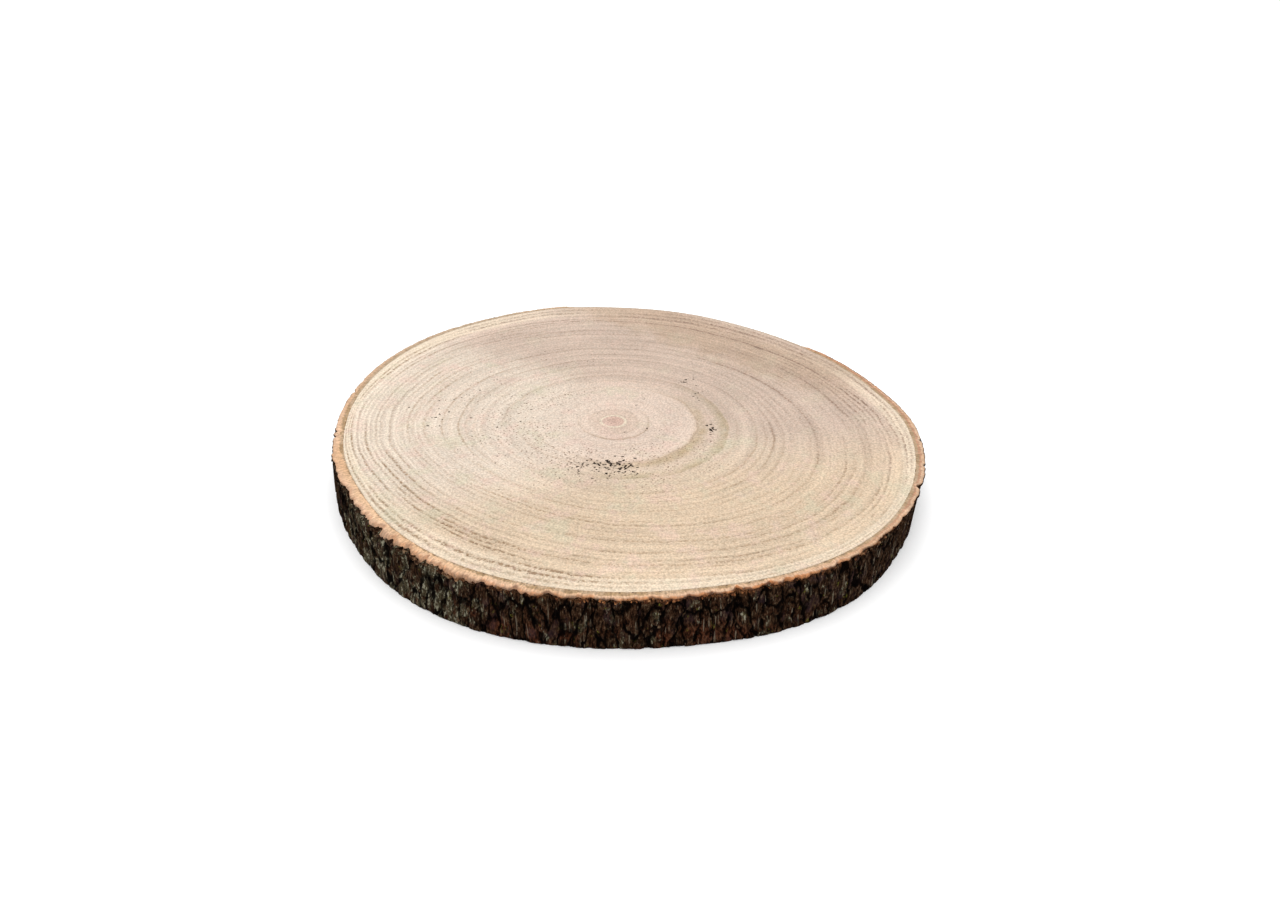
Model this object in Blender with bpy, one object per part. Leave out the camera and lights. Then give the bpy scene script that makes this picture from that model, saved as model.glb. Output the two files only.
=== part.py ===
"""Wood slice: a round sawn straight across a trunk, with the bark still on its rim.

One solid piece in metres, +Z up, lying on its lower sawn face. The origin is on that face,
under the middle of the slice. The side with the lichen faces -Y.
"""

import math

import bmesh
import bpy

# The round: its thickness, and the point near the pith that its radii are measured from
THICKNESS = 0.0258
AXIS_X = -0.0041
AXIS_Y = -0.0012

# Distance from that axis to the bark's outer edge, every 15 degrees anticlockwise from +X
RIM_RADII = (
    0.1552, 0.1495, 0.1465, 0.1445, 0.1455, 0.149,
    0.152, 0.1565, 0.157, 0.157, 0.154, 0.1495,
    0.1458, 0.1447, 0.1445, 0.1465, 0.1485, 0.149,
    0.1495, 0.1515, 0.1565, 0.1598, 0.1597, 0.158,
)

# Distance from that outer edge in to where the wood starts, every 30 degrees from +X
BARK_WIDTHS = (
    0.0048, 0.0042, 0.003, 0.003, 0.0042, 0.0045,
    0.005, 0.008, 0.0082, 0.006, 0.0058, 0.0046,
)
LEAST_INNER_BARK = 0.0008

# The stretch at the back right where the bark has come away from the wood
BARE_FROM = math.radians(38)
BARE_TO = math.radians(103)
BARE_EDGE = math.radians(3)
BARE_DEPTH = 0.002

# The outer bark: furrows that run up the side, the plates between them and its broken upper edge
FURROWS = 71
FURROW_DEPTH = 0.0013
FURROW_SHARPNESS = 4
SMALL_FURROWS = 113
SMALL_FURROW_DEPTH = 0.0005
PLATE_SWELL = 0.0003
UPPER_EDGE_DROP = 0.0011
UPPER_EDGE_WAVER = 0.0008
TOOTH_DEPTH = 0.0009
SHOULDER_WIDTH = 0.0004

# How far the foot of the bark is cut in (or out, below zero), every 30 degrees from +X
FOOT_TAPERS = (
    0.0012, 0.0004, 0.0003, 0.0003, 0.0003, 0.0003,
    -0.0016, 0.0, -0.0002, -0.0001, -0.0002, 0.0021,
)

# How much of the furrows is left at the upper edge, every 30 degrees, and where they start to fade
EDGE_FURROWS = (
    0.15, 0.15, 0.3, 0.3, 0.3, 0.15,
    0.15, 0.8, 1.0, 1.0, 1.0, 0.5,
)
FURROW_FADE_FROM = 0.55

# How much of the furrows is left at the foot, and how far up they fade towards it
FOOT_FURROWS = 0.35
FOOT_FADE_TO = 0.22

# How finely the solid follows these shapes
RIM_SEGMENTS = 420
SIDE_ROWS = 6
RING_INSET = 0.05

CUT_WOOD = 0
INNER_BARK = 1
OUTER_BARK = 2


def clear_scene():
    """Removes whatever the scene holds."""
    for thing in list(bpy.data.objects):
        bpy.data.objects.remove(thing, do_unlink=True)


def make_material(name, colour, roughness):
    """Returns a plain dielectric material."""
    material = bpy.data.materials.new(name)
    material.use_nodes = True
    shader = material.node_tree.nodes["Principled BSDF"]
    shader.inputs["Base Color"].default_value = (*colour, 1.0)
    shader.inputs["Roughness"].default_value = roughness
    shader.inputs["Metallic"].default_value = 0.0
    material.diffuse_color = (*colour, 1.0)
    return material


def read_round(values, angle):
    """Reads a list of values spaced evenly round the axis, on a smooth closed curve."""
    count = len(values)
    place = angle / math.tau * count
    index = math.floor(place)
    part = place - index
    before, start, end, after = (values[(index + step) % count] for step in (-1, 0, 1, 2))
    start_slope = (end - before) / 2
    end_slope = (after - start) / 2
    return (
        start * (2 * part**3 - 3 * part**2 + 1)
        + start_slope * (part**3 - 2 * part**2 + part)
        + end * (3 * part**2 - 2 * part**3)
        + end_slope * (part**3 - part**2)
    )


def smooth_step(value):
    """Rises smoothly from 0 to 1 as the value does."""
    held = min(max(value, 0.0), 1.0)
    return held * held * (3 - 2 * held)


def bark_cover(angle):
    """Is 1 where the rim has its bark and 0 along the bare stretch."""
    past_start = smooth_step((angle - BARE_FROM) / BARE_EDGE)
    before_end = smooth_step((BARE_TO - angle) / BARE_EDGE)
    return 1 - past_start * before_end


def furrow(angle, rise, count, sway):
    """Is 0 on a plate of bark and 1 at the bottom of a furrow, for so many furrows a turn."""
    drift = sway * math.sin(5 * angle) + 0.9 * math.sin(3 * angle + 2.2 * rise)
    lean = 0.7 * math.sin(8 * angle - 3.1 * rise)
    return ((1 + math.sin(count * angle + drift + lean)) / 2) ** FURROW_SHARPNESS


def side_radius(angle, rise):
    """Distance from the axis to the side, from the foot (rise 0) to the upper edge (rise 1)."""
    strength = 0.62 + 0.38 * math.sin(11 * angle + 1.7 * rise)
    relief = PLATE_SWELL * math.sin(29 * angle + 4 * math.sin(4 * angle) + 1.5 * rise)
    relief -= FURROW_DEPTH * strength * furrow(angle, rise, FURROWS, 2.6)
    relief -= SMALL_FURROW_DEPTH * furrow(angle, rise, SMALL_FURROWS, 3.4)
    fade = smooth_step((rise - FURROW_FADE_FROM) / (1 - FURROW_FADE_FROM))
    relief *= 1 - fade * (1 - read_round(EDGE_FURROWS, angle))
    relief *= FOOT_FURROWS + (1 - FOOT_FURROWS) * smooth_step(rise / FOOT_FADE_TO)
    relief -= read_round(FOOT_TAPERS, angle) * (1 - rise)
    cover = bark_cover(angle)
    return read_round(RIM_RADII, angle) + cover * relief - (1 - cover) * BARE_DEPTH


def upper_edge_drop(angle):
    """How far the broken upper edge of the bark lies under the sawn face."""
    waver = math.sin(17 * angle + 1.3) + math.sin(43 * angle + 3 * math.sin(6 * angle))
    drop = UPPER_EDGE_DROP + UPPER_EDGE_WAVER * waver / 2
    return bark_cover(angle) * drop + (1 - bark_cover(angle)) * UPPER_EDGE_WAVER / 2


def cambium_radius(angle):
    """Distance from the axis to the line where the wood ends and the inner bark starts."""
    return read_round(RIM_RADII, angle) - read_round(BARK_WIDTHS, angle)


def face_edge_radius(angle):
    """Distance from the axis to the toothed outer edge of the inner bark on the sawn face."""
    tooth = TOOTH_DEPTH * (1 + math.sin(97 * angle + 4 * math.sin(9 * angle))) / 2
    edge = side_radius(angle, 1) - tooth - SHOULDER_WIDTH
    return max(edge, cambium_radius(angle) + LEAST_INNER_BARK)


def make_blank():
    """Returns a plain round of radius 1 and height 1, with rows of vertices up its side.

    Two rings are inset in its upper face and one in its lower face.
    """
    blank = bmesh.new()
    bmesh.ops.create_cone(
        blank, cap_ends=True, segments=RIM_SEGMENTS, radius1=1, radius2=1, depth=1
    )
    uprights = [edge for edge in blank.edges if abs(edge.verts[0].co.z - edge.verts[1].co.z) > 0.5]
    bmesh.ops.subdivide_edges(blank, edges=uprights, cuts=SIDE_ROWS - 1)
    blank.faces.sort(key=lambda face: face.calc_center_median().z)
    blank.faces.ensure_lookup_table()
    lower, upper = blank.faces[0], blank.faces[-1]
    bmesh.ops.inset_individual(blank, faces=[upper], thickness=RING_INSET)
    bmesh.ops.inset_individual(blank, faces=[upper], thickness=RING_INSET)
    bmesh.ops.inset_individual(blank, faces=[lower], thickness=2 * RING_INSET)
    return blank


def shape_blank(blank):
    """Moves the blank's vertices to the slice's own outline, bark and thickness."""
    for vertex in blank.verts:
        x, y, z = vertex.co
        angle = math.atan2(y, x) % math.tau
        reach = math.hypot(x, y)
        rise = z + 0.5
        height = rise * THICKNESS
        if reach > 1 - RING_INSET / 2:
            radius = side_radius(angle, rise)
            if rise > 1 - 0.5 / SIDE_ROWS:
                height -= upper_edge_drop(angle)
        elif reach > 1 - 1.5 * RING_INSET:
            radius = face_edge_radius(angle)
        else:
            radius = cambium_radius(angle)
        vertex.co = (
            AXIS_X + radius * math.cos(angle),
            AXIS_Y + radius * math.sin(angle),
            height,
        )


def paint_faces(blank):
    """Gives the sawn wood, the inner bark and the outer bark their materials."""
    for face in blank.faces:
        x, y, z = face.calc_center_median()
        flat = abs(face.normal.z) > 0.99
        if len(face.verts) > 4:
            face.material_index = CUT_WOOD
        elif flat:
            face.material_index = INNER_BARK
        elif bark_cover(math.atan2(y - AXIS_Y, x - AXIS_X) % math.tau) > 0.5:
            face.material_index = OUTER_BARK
        else:
            face.material_index = CUT_WOOD
        face.smooth = not flat


def make_wood_slice(collection):
    """Makes the whole slice as one object."""
    blank = make_blank()
    shape_blank(blank)
    blank.normal_update()
    paint_faces(blank)
    mesh = bpy.data.meshes.new("wood_slice")
    blank.to_mesh(mesh)
    blank.free()
    mesh.materials.append(make_material("cut_wood", (0.72, 0.56, 0.41), 0.75))
    mesh.materials.append(make_material("inner_bark", (0.62, 0.36, 0.19), 0.85))
    mesh.materials.append(make_material("outer_bark", (0.035, 0.027, 0.02), 0.92))
    piece = bpy.data.objects.new("wood_slice", mesh)
    collection.objects.link(piece)
    return piece


def main():
    """Builds the slice in a collection of its own."""
    clear_scene()
    collection = bpy.data.collections.new("wood_slice")
    bpy.context.scene.collection.children.link(collection)
    make_wood_slice(collection)


main()
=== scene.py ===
"""Dresses a slice of wood with its sawn faces, inner bark, outer bark and torn bark flakes.

The outline, the furrows and the bare stretch of rim follow the same rules as the plain solid in
the frame, so each finished piece stands where the solid does. Lengths are in metres.
"""

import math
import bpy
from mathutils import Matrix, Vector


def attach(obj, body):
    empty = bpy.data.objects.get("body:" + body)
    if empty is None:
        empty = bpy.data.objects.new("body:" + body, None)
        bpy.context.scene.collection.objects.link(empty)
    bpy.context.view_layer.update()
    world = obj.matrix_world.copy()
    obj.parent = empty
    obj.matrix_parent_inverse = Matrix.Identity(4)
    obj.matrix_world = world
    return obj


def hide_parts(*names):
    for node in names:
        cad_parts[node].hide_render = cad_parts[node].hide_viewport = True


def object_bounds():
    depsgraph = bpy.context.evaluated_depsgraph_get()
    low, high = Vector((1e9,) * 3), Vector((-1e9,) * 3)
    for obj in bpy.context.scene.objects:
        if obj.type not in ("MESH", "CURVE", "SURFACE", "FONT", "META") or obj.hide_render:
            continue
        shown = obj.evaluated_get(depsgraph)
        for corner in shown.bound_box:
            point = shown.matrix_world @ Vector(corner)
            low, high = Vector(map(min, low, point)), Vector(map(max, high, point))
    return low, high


bl_info = {
    "name": "Wood Slice",
    "version": (1, 0, 0),
    "blender": (4, 5, 0),
    "location": "3D View > Sidebar > Wood Slice",
    "description": "Sawn faces with growth rings, fibrous inner bark and rough outer bark",
    "category": "Object",
}

import bmesh
import bpy
import numpy as np
from mathutils import Vector

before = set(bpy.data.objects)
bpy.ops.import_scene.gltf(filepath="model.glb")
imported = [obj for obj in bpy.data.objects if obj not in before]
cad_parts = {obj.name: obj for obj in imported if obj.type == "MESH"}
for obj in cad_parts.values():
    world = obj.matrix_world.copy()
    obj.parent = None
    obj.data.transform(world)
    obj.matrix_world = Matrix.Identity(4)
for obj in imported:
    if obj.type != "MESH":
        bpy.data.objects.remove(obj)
CAD_LOW, CAD_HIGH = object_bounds()

# The outline, as in the solid: the point that radii are measured from, and the radii
AXIS_X = -0.0041
AXIS_Y = -0.0012
RIM_RADII = (
    0.1552, 0.1495, 0.1465, 0.1445, 0.1455, 0.149,
    0.152, 0.1565, 0.157, 0.157, 0.154, 0.1495,
    0.1458, 0.1447, 0.1445, 0.1465, 0.1485, 0.149,
    0.1495, 0.1515, 0.1565, 0.1598, 0.1597, 0.158,
)
BARK_WIDTHS = (
    0.0048, 0.0042, 0.003, 0.003, 0.0042, 0.0045,
    0.005, 0.008, 0.0082, 0.006, 0.0058, 0.0046,
)
BARE_FROM = math.radians(38)
BARE_TO = math.radians(103)
BARE_EDGE = math.radians(3)
BARE_DEPTH = 0.002
FURROWS = 71
FURROW_DEPTH = 0.0013
FURROW_SHARPNESS = 4
SMALL_FURROWS = 113
SMALL_FURROW_DEPTH = 0.0005
PLATE_SWELL = 0.0003
FOOT_TAPERS = (
    0.0012, 0.0004, 0.0003, 0.0003, 0.0003, 0.0003,
    -0.0016, 0.0, -0.0002, -0.0001, -0.0002, 0.0021,
)
EDGE_FURROWS = (
    0.15, 0.15, 0.3, 0.3, 0.3, 0.15,
    0.15, 0.8, 1.0, 1.0, 1.0, 0.5,
)
FURROW_FADE_FROM = 0.55
FOOT_FADE_TO = 0.22
FOOT_FURROWS = 0.35

# How far the outer bark's own thickness shows past the inner bark, every 15 degrees from +X,
# and how long its large teeth are
LIP_WIDTHS = (
    0.0001, 0.0001, 0.0002, 0.0002, 0.0002, 0.0002, 0.0002, 0.0002,
    0.0004, 0.0003, 0.0001, 0.0001, 0.0001, 0.0004, 0.0013, 0.0028,
    0.0017, 0.0009, 0.0006, 0.0006, 0.0009, 0.0006, 0.0002, 0.0001,
)
TOOTH_LENGTHS = (
    0.0, 0.0, 0.0, 0.0, 0.0, 0.0, 0.0, 0.0,
    0.0004, 0.0, 0.0, 0.0, 0.0, 0.0003, 0.0006, 0.0008,
    0.0008, 0.0008, 0.0008, 0.0009, 0.0012, 0.0008, 0.0004, 0.0,
)

# The longest spikes of bark over the inner bark: at how many degrees, how long and how wide
SPIKES = (
    (166.5, 0.0012, 0.0009), (183.8, 0.0015, 0.0009), (185.8, 0.0013, 0.0008),
    (337.1, 0.0024, 0.0013), (344.3, 0.0013, 0.0008), (353.3, 0.0013, 0.0008),
    (207.5, 0.0024, 0.0035),
    (215.0, 0.0012, 0.0022), (218.8, 0.002, 0.0012), (223.5, 0.001, 0.0026),
    (227.0, 0.0014, 0.001), (231.3, 0.003, 0.0016), (236.3, 0.0013, 0.0011),
    (239.6, 0.0014, 0.0022), (245.5, 0.0012, 0.0016), (248.8, 0.0008, 0.001),
    (254.4, 0.0024, 0.0009), (260.0, 0.002, 0.0012), (265.0, 0.0014, 0.0018),
    (283.0, 0.0008, 0.0012), (290.5, 0.0016, 0.0014), (296.0, 0.001, 0.001),
)

# How much fresh orange-brown breakage the bark's upper edge shows, every 30 degrees from +X
FRESH_EDGES = (
    0.3, 0.3, 0.2, 0.2, 0.3, 0.2,
    0.1, 0.05, 0.4, 1.0, 0.9, 0.5,
)

# The inner bark on the face, every 30 degrees from +X: how far its darker inner part reaches
# across it, how pale it is, how much of a reddish line it has, how dark its outer fringe is,
# and how many dark specks lie along the wood
GREY_SHARES = (
    0.42, 0.5, 0.3, 0.3, 0.55, 0.5,
    0.45, 0.02, 0.25, 0.56, 0.3, 0.42,
)
PALE_SHARES = (
    0.3, 0.1, 0.0, 0.0, 0.8, 0.55,
    0.0, 0.0, 0.0, 0.1, 0.1, 0.3,
)
RED_LINES = (
    1.0, 1.0, 0.0, 0.0, 0.2, 0.35,
    0.1, 0.0, 0.0, 0.1, 0.25, 0.9,
)
DARK_FRINGES = (
    0.35, 2.0, 0.4, 0.4, 0.6, 0.2,
    0.1, 0.3, 0.5, 0.8, 1.0, 0.5,
)
CAMBIUM_SPECKS = (
    0.15, 0.1, 0.1, 0.1, 0.1, 0.2,
    0.35, 0.6, 0.6, 1.0, 0.9, 0.3,
)

# Growth rings: their mean radii, and how strongly each line shows
RING_RADII = (
    0.0066, 0.0125, 0.0185, 0.027, 0.034, 0.0425, 0.05, 0.057, 0.0615, 0.067, 0.071,
    0.075, 0.0785, 0.0832, 0.0865, 0.091, 0.095, 0.0983, 0.1013, 0.1043, 0.1073, 0.111,
    0.1147, 0.1195, 0.1225, 0.1256, 0.1288, 0.1315, 0.134, 0.1378, 0.1408, 0.1436,
)
RING_STRENGTHS = (
    0.3, 0.15, 1.0, 0.12, 0.15, 0.55, 0.3, 0.5, 0.45, 0.2, 0.55,
    0.35, 0.75, 0.4, 0.6, 0.35, 0.5, 0.85, 0.3, 0.55, 0.4, 0.65,
    0.55, 0.65, 0.5, 0.7, 0.6, 0.75, 0.65, 0.85, 0.7, 0.45,
)
MEAN_CAMBIUM = 0.146

# How far a ring part of the way out strays from round, every 30 degrees from +X
RING_WANDER = (
    0.0005, -0.004, -0.0075, -0.0085, -0.006, 0.002,
    0.0075, -0.0005, -0.007, -0.0025, 0.004, 0.0065,
)
WANDER_GROWTH = (0.0, 0.3, 0.53, 0.67, 0.82, 0.94, 1.0)
WANDER_SHARE = (0.0, 0.25, 0.6, 1.0, 0.95, 0.65, 0.0)
PITH_SHIFT_X = -0.0016
PITH_SHIFT_Y = 0.0009

# Pits in the upper face: centre, spread, how many and their radii from least to most
PIT_GROUPS = (
    ((-0.0065, -0.043), (0.0072, 0.0036), 60, (0.0003, 0.00064)),
    ((-0.0205, -0.0445), (0.0048, 0.0046), 24, (0.00022, 0.00045)),
    ((0.0035, -0.0475), (0.0034, 0.003), 18, (0.00026, 0.00052)),
    ((-0.012, -0.0530), (0.014, 0.005), 30, (0.0002, 0.00034)),
    ((0.0335, 0.046), (0.0022, 0.0018), 9, (0.0003, 0.00055)),
    ((0.039, 0.034), (0.0018, 0.0055), 11, (0.00025, 0.00045)),
    ((0.0455, -0.009), (0.0014, 0.0058), 12, (0.00032, 0.00065)),
    ((-0.0965, 0.008), (0.0025, 0.009), 10, (0.0003, 0.00055)),
    ((-0.085, 0.026), (0.012, 0.012), 10, (0.00025, 0.00045)),
    ((-0.075, -0.035), (0.012, 0.016), 12, (0.0002, 0.00038)),
    ((0.02, -0.02), (0.022, 0.022), 10, (0.0002, 0.00034)),
)
LONE_PITS = (
    (-0.115, 0.015), (-0.0805, 0.0035), (-0.0495, 0.0125), (-0.0655, -0.007),
    (-0.054, -0.0005), (0.0065, 0.0175), (0.012, -0.008),
)
LONE_PIT_RADIUS = 0.00042
PIT_DEPTH = 0.0007
PIT_SEED = 7

# How far from a pit's middle the face is cut finer: so many of its radii, and this much more
PIT_REACH = 1.9
PIT_MARGIN = 0.0009

# How finely the sawn wood follows its shape: steps round the rim, and the longest step from one
# loop of edges to the next on its upper and on its lower face, as shares of the radius
WOOD_SEGMENTS = 680
UPPER_RING_STEP = 0.0155
LOWER_RING_STEP = 0.06

# The bark's steps round the rim, how many cuts go into each, and the steps in a section: up the
# outer side, in along the upper one, down the inner one and out along the lower one
BARK_SEGMENTS = 256
INNER_CUTS = 6
INNER_SECTION = (12, 11, 6, 3)
OUTER_CUTS = 8
OUTER_SECTION = (41, 4, 1, 2)

# The torn flakes: how many, from how short to how long, and the seed their places are drawn with
FLAKE_COUNT = 260
FLAKE_LENGTHS = (0.0012, 0.0032)
FLAKE_SEED = 19

# The bark's smaller features: the small plates, how far apart the large teeth are, and the least
# width of the inner bark on the face
SMALL_PLATE_WIDTH = 0.0014
SMALL_PLATE_HEIGHT = 0.0042
TOOTH_SPACING = 0.0125
LEAST_INNER_BARK = 0.0008

# Between which degrees the bark is parting from the wood, and next to the bare stretch, how far
# the bark's ends are frayed and by how much
PARTING_FROM = 283
PARTING_TO = 301
FRAY_REACH = math.radians(6)
FRAY_SHIFT = math.radians(5)

# The photograph's camera, in its own frame of 1280 by 920 pixels
PHOTO_WIDTH = 1280
FOCAL_PIXELS = 1117.6
SENSOR_WIDTH = 36.0
CAMERA_PLACE = (0.0084, -0.5106, 0.3099)
CAMERA_ELEVATION = math.radians(31.10)

# The studio: how bright a white thing lying flat looks in its light, the light from all round,
# the floor's colour and how much the floor shines by itself
STUDIO_LEVEL = 1.3
SURROUND_LIGHT = 0.8
FLOOR_COLOUR = (0.95, 0.95, 0.95)
FLOOR_GLOW = 0.09

# The studio's square lights: name, place, side in metres and power in watts
STUDIO_LIGHTS = (
    ("ceiling_light", (0.0, 0.3, 1.9), 2.4, 28.0),
    ("front_light", (-0.3, -1.6, 1.1), 1.0, 7.0),
)


def pigment(red, green, blue):
    """Returns the surface colour that looks like this sRGB colour in the studio light."""
    levels = [value / 255 for value in (red, green, blue)]
    linear = [
        level / 12.92 if level <= 0.04045 else ((level + 0.055) / 1.055) ** 2.4
        for level in levels
    ]
    return tuple(value / STUDIO_LEVEL for value in linear)


def colour_setting(name, description, default):
    """Returns a colour that a user can change."""
    return bpy.props.FloatVectorProperty(
        name=name, description=description, default=default,
        subtype="COLOR", size=3, min=0.0, max=1.0,
    )


def length_setting(name, description, default):
    """Returns a length that a user can change."""
    return bpy.props.FloatProperty(
        name=name, description=description, default=default, unit="LENGTH",
    )


class SliceSizes(bpy.types.PropertyGroup):
    """Sizes of the finished pieces."""

    thickness: length_setting(
        "Thickness", "From the lower sawn face to the upper one", CAD_HIGH.z - CAD_LOW.z
    )
    shell: length_setting("Outer bark", "Thickness of the outer bark over the inner bark", 0.0019)
    plate_width: length_setting("Plate width", "Width of one plate of bark", 0.0052)
    plate_height: length_setting("Plate height", "Height of one plate of bark", 0.021)
    crack_depth: length_setting("Crack depth", "Depth of the cracks between the plates", 0.0012)
    cambium_gap: length_setting(
        "Cambium gap", "Width of the crack where the bark is parting", 0.0008
    )
    floor_size: length_setting("Floor", "Side of the square floor", 12.0)


class SliceColours(bpy.types.PropertyGroup):
    """Colours of the wood and the bark."""

    heartwood: colour_setting("Heartwood", "Middle of the sawn face", pigment(227, 205, 189))
    midwood: colour_setting("Midwood", "Half-way out", pigment(221, 200, 181))
    sapwood: colour_setting("Sapwood", "Pale outermost wood", pigment(240, 221, 197))
    ring_line: colour_setting("Ring line", "Early wood of each ring", pigment(168, 140, 112))
    # Colour of the pits: partly their own dark colour, partly painted shade in the holes
    pit: colour_setting("Pit", "Rotten pits", pigment(50, 38, 31))
    inner_bark: colour_setting("Inner bark", "Orange bast", pigment(236, 196, 158))
    old_bast: colour_setting("Inner bast", "Grey-tan bast by the wood", pigment(206, 176, 144))
    plate: colour_setting("Plate", "Weathered face of the outer bark", pigment(106, 91, 72))
    # Near-black painted shade: the darkest bark streaks, the bottoms of the cracks and the holes
    crevice_shade: colour_setting("Crevice", "Bottoms of the cracks", pigment(6, 4, 4))
    lichen: colour_setting("Lichen", "Grey-green crust", pigment(158, 153, 132))
    moss: colour_setting("Moss", "Yellow-green specks", pigment(104, 100, 38))
    broken: colour_setting("Broken bark", "Fresh breaks", pigment(176, 116, 72))


def smooth_step(value):
    """Rises smoothly from 0 to 1 as the value does."""
    held = np.clip(value, 0.0, 1.0)
    return held * held * (3 - 2 * held)


def read_round(values, angle):
    """Reads values spaced evenly round the axis, on a smooth closed curve."""
    listed = np.asarray(values)
    count = len(listed)
    place = angle / math.tau * count
    index = np.floor(place).astype(int)
    part = place - index
    before, start, end, after = (listed[(index + step) % count] for step in (-1, 0, 1, 2))
    start_slope = (end - before) / 2
    end_slope = (after - start) / 2
    return (
        start * (2 * part**3 - 3 * part**2 + 1)
        + start_slope * (part**3 - 2 * part**2 + part)
        + end * (3 * part**2 - 2 * part**3)
        + end_slope * (part**3 - part**2)
    )


def bark_cover(angle):
    """Is 1 where the rim has its bark and 0 along the bare stretch."""
    past_start = smooth_step((angle - BARE_FROM) / BARE_EDGE)
    before_end = smooth_step((BARE_TO - angle) / BARE_EDGE)
    return 1 - past_start * before_end


def furrow(angle, rise, count, sway):
    """Is 0 on a plate of bark and 1 at the bottom of a furrow, for so many furrows a turn."""
    drift = sway * np.sin(5 * angle) + 0.9 * np.sin(3 * angle + 2.2 * rise)
    lean = 0.7 * np.sin(8 * angle - 3.1 * rise)
    return ((1 + np.sin(count * angle + drift + lean)) / 2) ** FURROW_SHARPNESS


def side_radius(angle, rise):
    """Distance from the axis to the side, from the foot (rise 0) to the upper edge (rise 1)."""
    strength = 0.62 + 0.38 * np.sin(11 * angle + 1.7 * rise)
    relief = PLATE_SWELL * np.sin(29 * angle + 4 * np.sin(4 * angle) + 1.5 * rise)
    relief = relief - FURROW_DEPTH * strength * furrow(angle, rise, FURROWS, 2.6)
    relief = relief - SMALL_FURROW_DEPTH * furrow(angle, rise, SMALL_FURROWS, 3.4)
    fade = smooth_step((rise - FURROW_FADE_FROM) / (1 - FURROW_FADE_FROM))
    relief = relief * (1 - fade * (1 - read_round(EDGE_FURROWS, angle)))
    relief = relief * (FOOT_FURROWS + (1 - FOOT_FURROWS) * smooth_step(rise / FOOT_FADE_TO))
    relief = relief - read_round(FOOT_TAPERS, angle) * (1 - rise)
    cover = bark_cover(angle)
    return read_round(RIM_RADII, angle) + cover * relief - (1 - cover) * BARE_DEPTH


def cambium_radius(angle):
    """Distance from the axis to the line where the wood ends and the inner bark starts."""
    return read_round(RIM_RADII, angle) - read_round(BARK_WIDTHS, angle)


def ring_place(growth, angle):
    """Returns x and y of the wood laid down at a growth from 0, the pith, to 1, the cambium."""
    follow = smooth_step((growth - 0.1) / 0.9)
    outline = cambium_radius(angle) / MEAN_CAMBIUM
    stray = read_round(RING_WANDER, angle) * np.interp(growth, WANDER_GROWTH, WANDER_SHARE)
    radius = growth * MEAN_CAMBIUM * (1 - follow + follow * outline) + stray
    fade = (1 - growth) ** 3
    x = AXIS_X + PITH_SHIFT_X * fade + radius * np.cos(angle)
    y = AXIS_Y + PITH_SHIFT_Y * fade + radius * np.sin(angle)
    return x, y


def lattice(column, row, seed):
    """Returns a repeatable random value from 0 to 1 for each cell of a grid."""
    mixed = np.sin(column * 12.9898 + row * 78.233 + seed * 37.719) * 43758.5453
    return mixed - np.floor(mixed)


def soft_noise(across, up, seed):
    """Smooth random hills from 0 to 1, one to a unit."""
    column, row = np.floor(across), np.floor(up)
    u, v = smooth_step(across - column), smooth_step(up - row)
    low = lattice(column, row, seed) * (1 - u) + lattice(column + 1, row, seed) * u
    high = lattice(column, row + 1, seed) * (1 - u) + lattice(column + 1, row + 1, seed) * u
    return low * (1 - v) + high * v


def rough_noise(across, up, seed, layers=3):
    """Random hills with finer ones on them, about 0 to 1."""
    total = np.zeros_like(across)
    for layer in range(layers):
        scale = 2.0**layer
        total += soft_noise(across * scale, up * scale, seed + layer) / scale
    return total / (2 - 2.0 ** (1 - layers))


def cracked_cells(across, up, seed):
    """Splits a surface into cells.

    Returns each point's distance from its cell's edge, its cell's random value, and how far it
    is across and up from the cell's middle.
    """
    column, row = np.floor(across), np.floor(up)
    nearest = np.full(across.shape, 9.0)
    second = np.full(across.shape, 9.0)
    value, off_across, off_up = (np.zeros(across.shape) for _ in range(3))
    for step_across in (-1, 0, 1):
        for step_up in (-1, 0, 1):
            cell_column, cell_row = column + step_across, row + step_up
            seed_across = cell_column + lattice(cell_column, cell_row, seed)
            seed_up = cell_row + lattice(cell_column, cell_row, seed + 5)
            distance = np.hypot(across - seed_across, up - seed_up)
            closer = distance < nearest
            second = np.where(closer, nearest, np.minimum(second, distance))
            value = np.where(closer, lattice(cell_column, cell_row, seed + 9), value)
            off_across = np.where(closer, across - seed_across, off_across)
            off_up = np.where(closer, up - seed_up, off_up)
            nearest = np.where(closer, distance, nearest)
    return second - nearest, value, off_across, off_up


def rim_length(angle):
    """Distance along the rim, counted from where the bark starts again after the bare stretch."""
    return ((angle - BARE_TO) % math.tau) * MEAN_CAMBIUM


def rim_noise(along, scale, seed):
    """Random hills that change along the rim and not up it."""
    return rough_noise(along * scale, 0.0, seed)


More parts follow.
